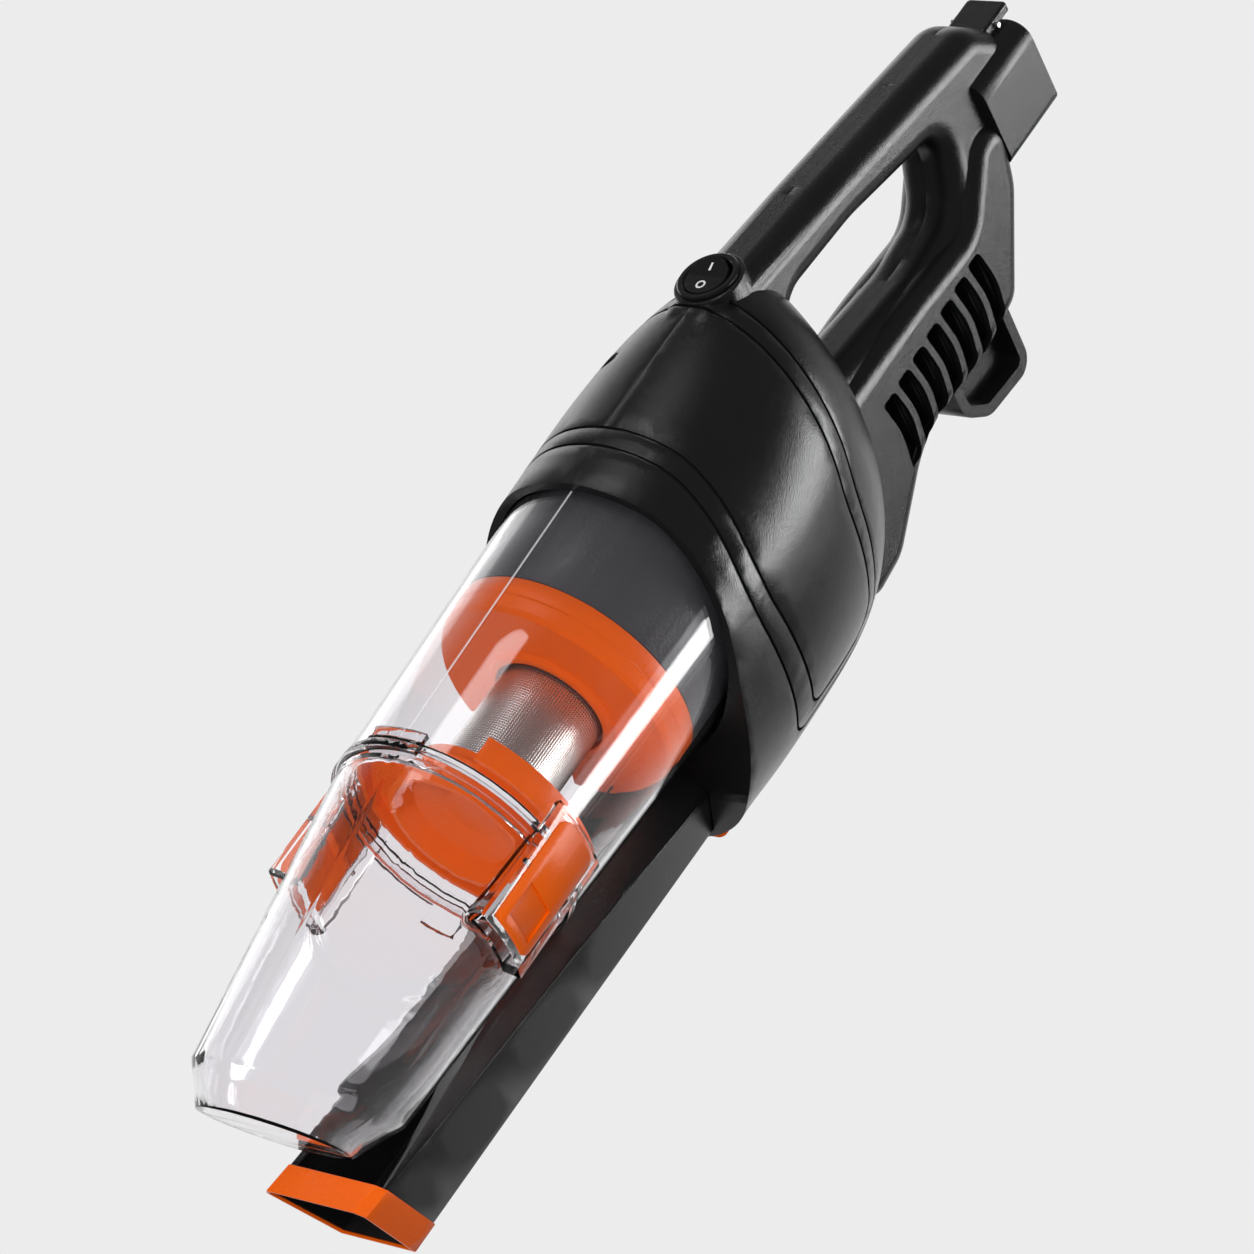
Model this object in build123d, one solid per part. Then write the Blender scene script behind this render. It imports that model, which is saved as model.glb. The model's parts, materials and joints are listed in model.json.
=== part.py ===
from build123d import *

import os
from math import atan2, cos, degrees, pi, radians, sin

# A corded handheld cyclone vacuum. While it is built, X runs forward along the axis of the clear cup,
# Y to the object's left and Z up, with zero where the cup leaves the motor housing. It is moved to its
# bounding box's bottom centre on export. All lengths are in millimetres.

# ---------------------------------------------------------------- driving dimensions
ORIGIN_X = -17.06
ORIGIN_Z = -94.6

WALL = 2.4
SEAM_GAP = 0.12
RUN_GAP = 0.3

# motor housing cross-sections: station x, half width, roof height, chin depth, chin half width
HOUSING = [
    (36.0, 53.2, 53.2, -88.5, 24.0),
    (8.0, 53.6, 53.4, -90.5, 22.5),
    (-20.0, 54.2, 54.3, -92.5, 21.0),
    (-48.0, 53.2, 55.8, -94.0, 19.0),
    (-72.0, 48.6, 56.6, -92.0, 17.0),
    (-92.0, 40.6, 55.2, -82.5, 15.0),
    (-106.0, 30.2, 51.0, -67.0, 12.5),
    (-114.5, 18.6, 44.0, -48.0, 9.0),
]
CHIN_RISE = 7.0
PANEL_GROOVE_DEPTH = 0.9
PANEL_GROOVE_WIDTH = 1.3

# handle, rear leg and hand hole, drawn in the XZ plane with one fillet radius per corner
HANDLE_HALF_WIDTH = 13.6
HANDLE_ROUND = 9.0
HANDLE_OUTLINE = [
    (-52.0, 44.0, 14.0), (-78.0, 57.4, 30.0), (-150.0, 50.6, 260.0), (-215.0, 43.2, 120.0),
    (-252.0, 38.8, 18.0), (-268.5, 24.0, 10.0), (-250.0, -6.0, 18.0), (-213.0, -59.0, 16.0),
    (-188.0, -62.5, 30.0), (-140.0, -61.5, 40.0), (-104.0, -88.5, 22.0), (-52.0, -92.0, 14.0),
]
HAND_HOLE = [
    (-112.0, 31.0, 14.0), (-160.0, 28.4, 90.0), (-218.0, 18.5, 9.0), (-205.0, -10.5, 14.0),
    (-178.0, -13.0, 60.0), (-108.0, -5.5, 8.0),
]
LEG_HALF_WIDTH = 17.8
LEG_ROUND = 7.5
LEG_OUTLINE = [
    (-80.0, -14.0, 10.0), (-160.0, -12.8, 200.0), (-203.0, -15.5, 16.0), (-226.0, 8.0, 14.0),
    (-246.0, 6.0, 10.0), (-238.0, -22.0, 26.0), (-213.0, -57.0, 12.0), (-188.0, -61.0, 30.0),
    (-142.0, -60.0, 40.0), (-106.0, -85.0, 20.0), (-80.0, -88.0, 10.0),
]

# rear socket for the push handle's tube
SOCKET_REAR_X = -274.5
SOCKET_FRONT_X = -238.0
SOCKET_HALF_WIDTH = 18.0
SOCKET_LOW_Z = -13.5
SOCKET_HIGH_Z = 24.6
SOCKET_AXIS_Z = 8.0
SOCKET_BORE_R = 12.5
SOCKET_LINER_R = 14.2
SOCKET_DEPTH = 32.0

# cord hook under the leg
HOOK_HALF_WIDTH = 9.6
HOOK_OUTLINE = [
    (-168.7, -56.0, 2.0), (-168.7, -76.5, 10.0), (-180.5, -86.6, 12.0), (-211.2, -89.2, 8.0),
    (-212.3, -56.0, 2.0),
]
HOOK_RIM = 4.5
HOOK_WEB = 3.0

# vents on the leg's two sides
VENT_COUNT = 7
VENT_FIRST_X = -198.3
VENT_PITCH = 11.15
VENT_WIDTH = 8.4
VENT_TOP_Z = -24.0
VENT_BOTTOM_Z = -58.0
VENT_SLANT = 3.0

# rocker switch
SWITCH_X = -97.5
SWITCH_TOP_Z = 57.3
SWITCH_BOSS_R = 13.4
SWITCH_BOSS_LOW_Z = 36.0
SWITCH_BEZEL_R = 11.6
SWITCH_HOLE_R = 10.2
ROCKER_R = 8.3
ROCKER_PIVOT_DROP = 3.2
ROCKER_TILT = 7.0
TRUNNION_R = 1.2
TRUNNION_HOLE_R = 1.26
TRUNNION_HALF_LENGTH = 9.8

# clear shells
SHELL_R = 50.0
SHELL_TAPER = 0.0393
SHELL_WALL = 2.0
SHELL_REAR_X = -12.0
SHELL_FRONT_X = 112.0
SHELL_FLANGE_R = 46.2
JOINT_X = 114.4
CUP_R = 45.0
CUP_RING_R = 46.2
CUP_RING_LENGTH = 2.8
CUP_END_TILT = 24.0

# front cup's slanted nose: station x, half width, half height and centre height
CUP_SHOULDER = (218.0, 35.4, 33.8, -9.5)
CUP_END = (233.7, 26.4, 24.2, -11.2)

# nozzle duct: station x, roof height, roof half width, shoulder height, shoulder half width,
# lower corner half width
DUCT = [
    (20.0, -51.6, 13.0, -63.0, 24.5, 17.0),
    (112.0, -50.0, 14.0, -55.0, 22.8, 16.4),
    (158.0, -48.6, 15.5, -51.8, 22.2, 16.2),
    (200.0, -46.0, 18.0, -48.6, 21.9, 16.1),
    (246.0, -41.6, 19.2, -44.6, 21.6, 16.0),
]
DUCT_REAR_FLOOR_Z = -82.0
DUCT_FRONT_FLOOR_Z = -78.4
DUCT_WALL = 2.0
MOUTH_TILT = 19.2
MOUTH_TOP_X = 236.2
MOUTH_TOP_Z = -43.4
RIM_DEPTH = 12.3
RIM_STEP = 0.5
RIM_WALL = 1.2
LINER_SETBACK = 1.0

# separator, mesh and dish inside the clear shell
SPIGOT_R = 46.0
SPIGOT_FRONT_X = 38.0
SEPARATOR_R = 45.9
SEPARATOR_FRONT_X = 52.0
COLLAR_R = 21.0
SEPARATOR_CUT_ANGLE = 225.0
SEPARATOR_CUT_HALF = 30.0
MESH_R = 19.5
MESH_WALL = 0.6
MESH_FRONT_X = 101.0
DISH_R = 43.4
DISH_REAR_X = 98.0
DISH_FRONT_X = 107.5
DISH_THICKNESS = 2.0
DISH_COLLAR_R = 26.0
DISH_COLLAR_REAR_X = 96.0
DISH_BOWL_FRONT_X = 112.5
DISH_GAP_ANGLE = 98.5
DISH_GAP_HALF = 41.5

# side clips
CLIP_REAR_X = 105.0
CLIP_FRONT_X = 148.6
CLIP_INNER_R = 46.6
CLIP_OUTER_R = 49.2
CLIP_HALF_ANGLE = 13.0
CLIP_CORNER_R = 4.0
CLIP_PIVOT_X = 127.0
CLIP_PIVOT_Y = 46.3
CLIP_BOSS_R = 1.9
CLIP_BOSS_HALF_LENGTH = 9.4
CLIP_PAD_LENGTH = 14.0
CLIP_PAD_DEPTH = 0.9
FRAME_HALF_ANGLE = 19.0
FRAME_REAR_X = 102.6
FRAME_FRONT_X = 152.4
FRAME_R = 49.3
FRAME_ROOT_R = 38.0
PIN_R = 1.0
PIN_HOLE_R = 1.05
PIN_HALF_LENGTH = 13.6

# motor
MOTOR_R = 33.0
MOTOR_REAR_X = -92.0
MOTOR_FRONT_X = -44.0
FAN_R = 36.0
SHAFT_R = 3.0


# front lip of the housing, swept forward towards the chin
FRONT_LIP = [
    (0.0, 90.0, 1.0), (0.0, 40.0, 26.0), (21.0, -20.0, 60.0), (31.0, -62.0, 16.0),
    (31.0, -130.0, 1.0), (90.0, -130.0, 1.0), (90.0, 90.0, 1.0),
]
BULKHEAD_X = -12.6
CHIN_FRONT_WALL_X = 28.0
CAVITY_CHAMFER = 3.2
PANEL_LINES = [
    [
        (-27.0, 62.0, 2.0), (-25.0, 46.0, 20.0), (-9.0, 8.0, 60.0), (-15.0, -63.5, 8.0),
        (-60.0, -66.5, 12.0), (-62.0, -8.0, 60.0), (-86.0, 62.0, 2.0),
    ],
    [
        (-19.0, 62.0, 2.0), (-17.0, 46.0, 20.0), (-1.0, 8.0, 60.0), (-4.0, -68.0, 9.0),
        (-66.0, -72.5, 14.0), (-70.0, -12.0, 60.0), (-94.0, 62.0, 2.0),
    ],
]
SOCKET_TOP_ROUND = 9.0
SOCKET_LOW_ROUND = 4.0
SOCKET_END_CHAMFER = 1.2
VENT_TOP_DROP = 1.0
VENT_BOTTOM_DROP = 0.4
VENT_INNER_Y = 10.0

# release button under the chin
BUTTON_REAR_X = 5.0
BUTTON_FRONT_X = 25.5
BUTTON_HALF_WIDTH = 12.5
BUTTON_LOW_Z = -94.2
BUTTON_FLANGE_LOW_Z = -83.0
BUTTON_FLANGE_HIGH_Z = -81.5
BUTTON_FLANGE_EXTRA = 1.3

# tube latch on top of the socket
LATCH_REAR_X = -278.6
LATCH_FRONT_X = -261.0
LATCH_HALF_WIDTH = 8.8
LATCH_LOW_Z = 25.4
LATCH_HIGH_Z = 28.9
LATCH_PIVOT_X = -268.0
LATCH_PIVOT_Z = 26.4
LATCH_BOSS_R = 2.3
LATCH_POCKET_DEPTH = 1.9

# screws that hold the halves together: x, z and the height of the head's seat
SCREWS = [
    (-150.0, 39.6, -10.8), (-231.0, 24.0, -10.8), (-219.5, -37.0, -14.8),
    (-112.0, -70.0, -13.0), (-32.0, -79.0, -21.5), (-62.0, 48.3, -19.0),
]
BOSS_R = 4.0
SCREW_R = 1.5
SCREW_HEAD_R = 3.1
SCREW_HEAD_HEIGHT = 2.2
SCREW_LENGTH = 20.0

# cord inlet in the rear of the leg
GLAND_X = -229.5
GLAND_Z = -36.0
GLAND_R = 4.4
GLAND_BORE_R = 3.0
GLAND_LENGTH = 7.0
GLAND_TILT = 50.0
GLAND_SEAT = 2.0
GLAND_FLANGE_R = 6.0
GLAND_FLANGE_THICKNESS = 1.6

# low skid ribs under the housing
SKID_REAR_X = -60.0
SKID_FRONT_X = -3.0
SKID_LOW_Z = -94.6
SKID_TOP_Z = -86.0
SKID_INNER_Y = 9.5
SKID_OUTER_Y = 12.5

CLEARANCE = 0.4
BAFFLE_FIN_Y = 14.8

# motor internals
BEARING_R = 8.0
STATOR_REAR_X = -78.0
STATOR_FRONT_X = -52.0
ARMATURE_R = 19.0
ARMATURE_SLOTS = 12
COMMUTATOR_REAR_X = -87.4
COMMUTATOR_FRONT_X = -80.0
COMMUTATOR_R = 10.0
FAN_REAR_X = -38.0
FAN_FRONT_X = -24.0
FAN_EYE_R = 15.0
FAN_BLADES = 9
MOUNT_OUTER_R = 50.4
REAR_MOUNT_R = 20.0
GRILLE_HOLE_R = 34.0
GRILLE_SPOKES = 8
SPIGOT_INNER_R = 40.2
SPIGOT_LENGTH = 3.6
SPIGOT_OUTER_R = 42.4
PORT_REAR_X = 62.0
PORT_FRONT_X = 80.0
PORT_HALF_WIDTH = 9.0
LUG_REAR_X = 109.0
LUG_LOW_R = 46.0
LUG_R = 48.6
LUG_ANGLE = 91.0
LUG_HALF_ANGLE = 13.5
LOW_LUG_FRONT_X = 125.0
LOW_LUG_R = 46.6
LOW_LUG_ANGLE = 241.0
LOW_LUG_HALF_ANGLE = 8.0
DUCT_REAR_WALL_X = 32.0

PARTS = {}


# ---------------------------------------------------------------- small helpers
def tube_x(x0, x1, r_out, r_in=0.0, y=0.0, z=0.0):
    """A cylinder or ring along X from x0 to x1, centred on (y, z)."""
    section = Circle(r_out)
    if r_in > 0:
        section -= Circle(r_in)
    return extrude(Plane.YZ.offset(x0) * Pos(y, z) * section, amount=x1 - x0)


def turned(profile):
    """A solid of revolution about the X axis, from a list of (x, radius) corners."""
    outline = Plane.XY * make_face(Polyline(*profile, close=True))
    return revolve(outline, axis=Axis.X)


def side_outline(corners):
    """A closed outline in the XZ plane, each corner (x, z, fillet radius)."""
    points = [(x, z) for x, z, _ in corners]
    radii = [r for _, _, r in corners]
    return Plane.XZ * make_face(FilletPolyline(*points, radius=radii, close=True))


def slab(corners, half_width):
    """The outline extruded to both sides of the Y = 0 plane."""
    return extrude(side_outline(corners), amount=half_width, both=True)


def box_between(low, high):
    """An axis-aligned box from its low corner to its high corner."""
    size = [h - l for l, h in zip(low, high)]
    middle = [(h + l) / 2 for l, h in zip(low, high)]
    return Pos(*middle) * Box(*size)


def tube_z(x, y, r_out, z0, z1, r_in=0.0):
    """A cylinder or ring along Z."""
    section = Circle(r_out)
    if r_in > 0:
        section -= Circle(r_in)
    return extrude(Plane.XY.offset(z0) * Pos(x, y) * section, amount=z1 - z0)


def tube_y(x, z, r_out, y0, y1, r_in=0.0):
    """A cylinder or ring along Y."""
    section = Circle(r_out)
    if r_in > 0:
        section -= Circle(r_in)
    return extrude(Plane.XZ.offset(-y0) * Pos(x, z) * section, amount=y0 - y1)


def biggest(shape):
    """The largest solid of a shape, without stray slivers."""
    return shape.solids().sort_by(SortBy.VOLUME)[-1]


def sector_x(x0, x1, r_in, r_out, half_angle, centre_angle=0.0):
    """An annular sector about the X axis; angle 0 points along +Y and 90 along +Z."""
    reach = 2 * r_out
    low = radians(centre_angle - half_angle)
    high = radians(centre_angle + half_angle)
    wedge = Polyline((0, 0), (reach * cos(low), reach * sin(low)),
                     (reach * cos(high), reach * sin(high)), close=True)
    return tube_x(x0, x1, r_out, r_in) & extrude(Plane.YZ.offset(x0) * make_face(wedge), amount=x1 - x0)


def keep(name, shape):
    """Register a finished sub-part under its node name."""
    PARTS[name] = shape
    return shape


def shell_r(x):
    """Outer radius of the clear rear shell at station x."""
    return SHELL_R - SHELL_TAPER * x


# ---------------------------------------------------------------- motor housing and handle
def housing_section(station, inset):
    """One cross-section: an elliptical roof whose sides draw in to a narrower chin."""
    x, w, roof, chin, chin_w = station
    w -= inset
    roof -= inset
    chin += inset
    chin_w -= inset
    arc_r = (chin_w ** 2 + CHIN_RISE ** 2) / (2 * CHIN_RISE)
    slope = atan2(chin_w, arc_r - CHIN_RISE)
    edges = [
        EllipticalCenterArc((0, 0), w, roof, start_angle=0, arc_size=180),
        Spline((-w, 0), (-chin_w, chin + CHIN_RISE), tangents=[(0, -1), (cos(slope), -sin(slope))]),
        ThreePointArc((-chin_w, chin + CHIN_RISE), (0, chin), (chin_w, chin + CHIN_RISE)),
        Spline((chin_w, chin + CHIN_RISE), (w, 0), tangents=[(cos(slope), sin(slope)), (0, 1)]),
    ]
    return Plane.YZ.offset(x) * make_face(edges)


def housing_hull(inset):
    """The motor housing as a solid, inset from its outer surface."""
    return loft([housing_section(s, inset) for s in HOUSING])


def handle_solid():
    """Grip, rear column and leg, with the hand hole through them."""
    ring = slab(HANDLE_OUTLINE, HANDLE_HALF_WIDTH) - slab(HAND_HOLE, 2 * HANDLE_HALF_WIDTH)
    rims = ring.faces().filter_by(Axis.Y).edges()
    return fillet(rims, HANDLE_ROUND)


def leg_solid():
    """The wider block of the leg that carries the vents."""
    leg = slab(LEG_OUTLINE, LEG_HALF_WIDTH)
    rims = leg.faces().filter_by(Axis.Y).edges()
    return fillet(rims, LEG_ROUND)


def handle_cavity():
    """The hollow inside grip, rear column and leg."""
    outline = offset(side_outline(HANDLE_OUTLINE), -WALL)
    hole = offset(side_outline(HAND_HOLE), WALL)
    half = HANDLE_HALF_WIDTH - WALL
    ring = extrude(outline, amount=half, both=True) - extrude(hole, amount=2 * half, both=True)
    ring = chamfer(ring.faces().filter_by(Axis.Y).edges(), CAVITY_CHAMFER)
    leg = extrude(offset(side_outline(LEG_OUTLINE), -WALL), amount=LEG_HALF_WIDTH - WALL, both=True)
    leg = chamfer(leg.faces().filter_by(Axis.Y).edges(), CAVITY_CHAMFER)
    return ring + leg


def socket_block():
    """The block behind the handle that takes the push handle's tube."""
    block = box_between(
        (SOCKET_REAR_X, -SOCKET_HALF_WIDTH, SOCKET_LOW_Z),
        (SOCKET_FRONT_X, SOCKET_HALF_WIDTH, SOCKET_HIGH_Z),
    )
    long_edges = block.edges().filter_by(Axis.X)
    block = fillet(long_edges.group_by(Axis.Z)[-1], SOCKET_TOP_ROUND)
    block = fillet(block.edges().filter_by(Axis.X).group_by(Axis.Z)[0], SOCKET_LOW_ROUND)
    return chamfer(block.faces().sort_by(Axis.X)[0].edges(), SOCKET_END_CHAMFER)


def front_lip_cutter():
    """Everything ahead of the housing's front lip, which sweeps forward towards the chin."""
    return slab(FRONT_LIP, 2 * SHELL_R)


def duct_section(station, inset, floor_z):
    """One duct cross-section: flat roof, sloping shoulders, sides drawn in to a narrow floor."""
    x, roof_z, roof_w, shoulder_z, shoulder_w, low_w = station
    roof_z -= inset
    shoulder_z -= 0.4 * inset
    floor_z += inset
    half = [
        (roof_w - 0.6 * inset, roof_z),
        (shoulder_w - inset, shoulder_z),
        (low_w - inset, floor_z),
    ]
    other_half = [(-y, z) for y, z in reversed(half)]
    return Plane.YZ.offset(x) * make_face(Polyline(*half, *other_half, close=True))


def duct_hull(inset):
    """The nozzle duct as a solid, inset from its outer surface, before the mouth is cut."""
    first_x = DUCT[0][0]
    last_x = DUCT[-1][0]
    sections = []
    for station in DUCT:
        along = (station[0] - first_x) / (last_x - first_x)
        floor_z = DUCT_REAR_FLOOR_Z + along * (DUCT_FRONT_FLOOR_Z - DUCT_REAR_FLOOR_Z)
        sections.append(duct_section(station, inset, floor_z))
    return loft(sections, ruled=True)


def mouth_plane(back_by):
    """The slanted plane of the nozzle mouth, moved back along X."""
    tilt = radians(MOUTH_TILT)
    return Plane(origin=(MOUTH_TOP_X - back_by, 0, MOUTH_TOP_Z), z_dir=(cos(tilt), 0, -sin(tilt)))


def screw_bosses():
    """Posts along Y that the housing screws pull together."""
    posts = Part()
    for x, z, _ in SCREWS:
        post = Plane.XZ * Pos(x, z) * Circle(BOSS_R)
        posts += extrude(post, amount=2 * BOSS_R + 24.0, both=True)
    return posts


def screw_shape(x, z, seat_y, head_r, shank_r, length):
    """A pan head below the right side's surface and a shank along +Y."""
    head = extrude(Plane.XZ.offset(-seat_y) * Pos(x, z) * Circle(head_r), amount=SCREW_HEAD_HEIGHT)
    shank = extrude(Plane.XZ.offset(-seat_y) * Pos(x, z) * Circle(shank_r), amount=-length)
    return head + shank


def panel_grooves():
    """Twin grooves that outline the raised panel on each side of the housing."""
    grooves = Part()
    skin = housing_hull(-1.0) - housing_hull(PANEL_GROOVE_DEPTH)
    for outline in PANEL_LINES:
        outer = offset(side_outline(outline), PANEL_GROOVE_WIDTH / 2)
        inner = offset(side_outline(outline), -PANEL_GROOVE_WIDTH / 2)
        band = extrude(outer - inner, amount=2 * SHELL_R, both=True)
        grooves += band & skin
    return grooves


def vent_cutter(index):
    """One curved vent slot, cut through both sides of the leg."""
    x = VENT_FIRST_X + index * VENT_PITCH
    top = VENT_TOP_Z - index * VENT_TOP_DROP
    bottom = VENT_BOTTOM_Z - index * VENT_BOTTOM_DROP
    bow = VENT_SLANT
    half = VENT_WIDTH / 2
    corners = [
        (x + half, top, 1.5), (x + half - bow, (top + bottom) / 2, 30.0), (x + half, bottom, 0.8),
        (x - half + 1.0, bottom, 2.5), (x - half - bow, (top + bottom) / 2, 30.0), (x - half, top, 3.2),
    ]
    slot = slab(corners, 3 * LEG_HALF_WIDTH)
    return slot - box_between((x - 20, -VENT_INNER_Y, -90), (x + 20, VENT_INNER_Y, 0))


def make_body_shells():
    """The two halves of the main housing, parted on the Y = 0 plane."""
    hull = housing_hull(0)
    outer = hull + handle_solid() + leg_solid() + socket_block()
    boss = extrude(Plane.XY.offset(30.0) * Pos(SWITCH_X, 0) * Circle(SWITCH_BOSS_R),
                   amount=SWITCH_TOP_Z - 30.0)
    boss = fillet(boss.edges().sort_by(Axis.Z)[-1], 1.0)
    outer += boss
    for side in (-1, 1):
        outer += skid_rib(side)
    outer -= front_lip_cutter()

    inner_hull = housing_hull(WALL)
    rear = box_between((HOUSING[-1][0] + WALL, -80, -120), (BULKHEAD_X - WALL, 80, 80))
    chin = box_between((BULKHEAD_X - WALL, -80, -120), (CHIN_FRONT_WALL_X, 80, -SHELL_R - 3.0))
    cavity = inner_hull & (rear + chin)
    cavity += handle_cavity()
    cavity -= screw_bosses()
    cavity -= tube_z(SWITCH_X, 0, SWITCH_BOSS_R, SWITCH_BOSS_LOW_Z, SWITCH_TOP_Z)
    cavity += tube_z(SWITCH_X, 0, SWITCH_HOLE_R, 20.0, SWITCH_TOP_Z + 5)
    shell = outer - cavity
    shell -= tube_x(BULKHEAD_X - WALL, 80, SHELL_R + CLEARANCE)
    shell -= duct_hull(-0.3)
    shell -= panel_grooves()
    for index in range(VENT_COUNT):
        shell -= vent_cutter(index)
    shell -= tube_x(SOCKET_REAR_X - 1, SOCKET_REAR_X + SOCKET_DEPTH, SOCKET_LINER_R, z=SOCKET_AXIS_Z)
    shell -= button_window()
    shell -= latch_pocket()
    shell -= latch_pin_solid()
    shell -= gland_hole()
    for x, z, seat_y in SCREWS:
        shell -= screw_shape(x, z, seat_y, SCREW_HEAD_R + 0.3, SCREW_R, SCREW_LENGTH)
        shell -= extrude(Plane.XZ.offset(-seat_y + SCREW_HEAD_HEIGHT) * Pos(x, z)
                         * Circle(SCREW_HEAD_R + 0.3), amount=60)
    left = shell & box_between((-300, SEAM_GAP / 2, -150), (60, 80, 100))
    right = shell & box_between((-300, -80, -150), (60, -SEAM_GAP / 2, 100))
    keep("body_shell_left", biggest(left))
    keep("body_shell_right", biggest(right))
    return outer, cavity


def skid_rib(side):
    """One low rib under the housing that it rests on."""
    inner, outer = sorted((side * SKID_INNER_Y, side * SKID_OUTER_Y))
    rib = box_between((SKID_REAR_X, inner, SKID_LOW_Z), (SKID_FRONT_X, outer, SKID_TOP_Z))
    ends = rib.faces().sort_by(Axis.Z)[0].edges().filter_by(Axis.Y)
    return chamfer(ends, 1.5)


def button_window():
    """The opening in the chin's floor for the release button."""
    gap = RUN_GAP
    return box_between(
        (BUTTON_REAR_X - gap, -BUTTON_HALF_WIDTH - gap, -110.0),
        (BUTTON_FRONT_X + gap, BUTTON_HALF_WIDTH + gap, BUTTON_FLANGE_LOW_Z),
    )


def latch_pocket():
    """The recess for the tube latch in the top of the socket block."""
    return box_between(
        (LATCH_REAR_X - 1, -LATCH_HALF_WIDTH - 0.6, LATCH_LOW_Z - LATCH_POCKET_DEPTH),
        (LATCH_FRONT_X + 0.8, LATCH_HALF_WIDTH + 0.6, 60.0),
    )


def latch_pin_solid():
    """The pin that the tube latch turns on, held in the pocket's two walls."""
    half = LATCH_HALF_WIDTH + 1.7
    return tube_y(LATCH_PIVOT_X, LATCH_PIVOT_Z, PIN_R, -half, half)


def gland_axis():
    """The plane at the cord gland, facing out of the leg's rear."""
    tilt = radians(GLAND_TILT)
    return Plane(origin=(GLAND_X, 0, GLAND_Z), z_dir=(-sin(tilt), 0, -cos(tilt)))


def gland_hole():
    """The stepped hole that holds the cord gland and its inner flange."""
    axis = gland_axis()
    hole = extrude(axis * Circle(GLAND_R), amount=14.0, both=True)
    return hole + extrude(axis.offset(-GLAND_SEAT) * Circle(GLAND_FLANGE_R), amount=-GLAND_SEAT)


def make_body_fittings(outer, cavity):
    """Hook, gland, socket liner, screws and the vent baffle."""
    hook = slab(HOOK_OUTLINE, HOOK_HALF_WIDTH)
    pocket = extrude(offset(side_outline(HOOK_OUTLINE), -HOOK_RIM), amount=HOOK_HALF_WIDTH, both=True)
    web = box_between((-230, -HOOK_WEB / 2, -110), (-150, HOOK_WEB / 2, 0))
    hook = (hook - pocket) + (pocket & web)
    keep("cord_hook", biggest(hook - outer))

    axis = gland_axis()
    gland = extrude(axis.offset(-GLAND_SEAT) * Circle(GLAND_R), amount=GLAND_LENGTH + GLAND_SEAT)
    gland += extrude(axis.offset(-GLAND_SEAT) * Circle(GLAND_FLANGE_R), amount=-GLAND_FLANGE_THICKNESS)
    gland -= extrude(axis * Circle(GLAND_BORE_R), amount=3 * GLAND_LENGTH, both=True)
    keep("cord_gland", gland)

    x1 = SOCKET_REAR_X + SOCKET_DEPTH
    liner = tube_x(SOCKET_REAR_X - 0.8, x1, SOCKET_LINER_R, SOCKET_BORE_R, z=SOCKET_AXIS_Z)
    keep("socket_liner", liner)

    screws = Part()
    for x, z, seat_y in SCREWS:
        screws += screw_shape(x, z, seat_y, SCREW_HEAD_R, SCREW_R, SCREW_LENGTH)
    keep("body_screws", screws)

    baffle = box_between((-207.0, -VENT_INNER_Y + 0.5, -57.5), (-121.0, VENT_INNER_Y - 0.5, -22.5))
    for index in range(VENT_COUNT + 1):
        x = VENT_FIRST_X + (index - 0.5) * VENT_PITCH
        baffle += box_between((x - 0.9, -BAFFLE_FIN_Y, -57.5), (x + 0.9, BAFFLE_FIN_Y, -24.0))
    keep("vent_baffle", biggest(baffle & cavity))


def make_switch():
    """Round rocker switch in its bezel, resting switched off with its front half pressed."""
    bezel = tube_z(SWITCH_X, 0, SWITCH_BEZEL_R, SWITCH_TOP_Z, SWITCH_TOP_Z + 1.5, ROCKER_R + 0.8)
    bezel = chamfer(bezel.edges().group_by(Axis.Z)[-1], 0.5)
    bezel += tube_z(SWITCH_X, 0, SWITCH_HOLE_R - 0.1, SWITCH_TOP_Z - 16.0, SWITCH_TOP_Z, ROCKER_R + 0.8)
    bezel += tube_z(SWITCH_X, 0, SWITCH_HOLE_R - 0.1, SWITCH_TOP_Z - 18.0, SWITCH_TOP_Z - 16.0)
    pivot_z = SWITCH_TOP_Z - ROCKER_PIVOT_DROP
    bezel -= tube_y(SWITCH_X, pivot_z, TRUNNION_HOLE_R, -SWITCH_BEZEL_R, SWITCH_BEZEL_R)
    keep("switch_bezel", bezel)

    terminals = Part()
    for x in (-4.0, 4.0):
        low = (SWITCH_X + x - 0.4, -2.4, SWITCH_TOP_Z - 26.0)
        high = (SWITCH_X + x + 0.4, 2.4, SWITCH_TOP_Z - 18.0)
        terminals += box_between(low, high)
    keep("switch_terminals", terminals)

    pivot = Pos(SWITCH_X, 0, pivot_z)
    top = ROCKER_PIVOT_DROP + 1.6
    profile = Polyline((-10, -4), (10, -4), (10, top + 1.1), (0, top), (-10, top + 1.1), close=True)
    cap = extrude(Plane.XZ * make_face(profile), amount=12, both=True)
    cap = cap & tube_z(0, 0, ROCKER_R, -4.0, top + 2.0)
    slope = 0.11
    on_mark = box_between((-5.6, -0.45, top - 0.5), (-2.4, 0.45, top + 2))
    off_mark = tube_z(4.0, 0, 1.9, top - 0.5, top + 2, 1.15)
    marks = on_mark + off_mark
    skin_profile = Polyline((-10, top - 0.3 + 10 * slope), (0, top - 0.3), (10, top - 0.3 + 10 * slope),
                            (10, top + 10 * slope), (0, top), (-10, top + 10 * slope), close=True)
    skin = extrude(Plane.XZ * make_face(skin_profile), amount=12, both=True)
    marks = marks & skin
    cap -= marks
    cap += tube_y(0, 0, TRUNNION_R, -TRUNNION_HALF_LENGTH, TRUNNION_HALF_LENGTH)
    tilt = Rotation(0, ROCKER_TILT, 0)
    keep("rocker", pivot * tilt * cap)
    keep("rocker_marks", pivot * tilt * marks)


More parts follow.
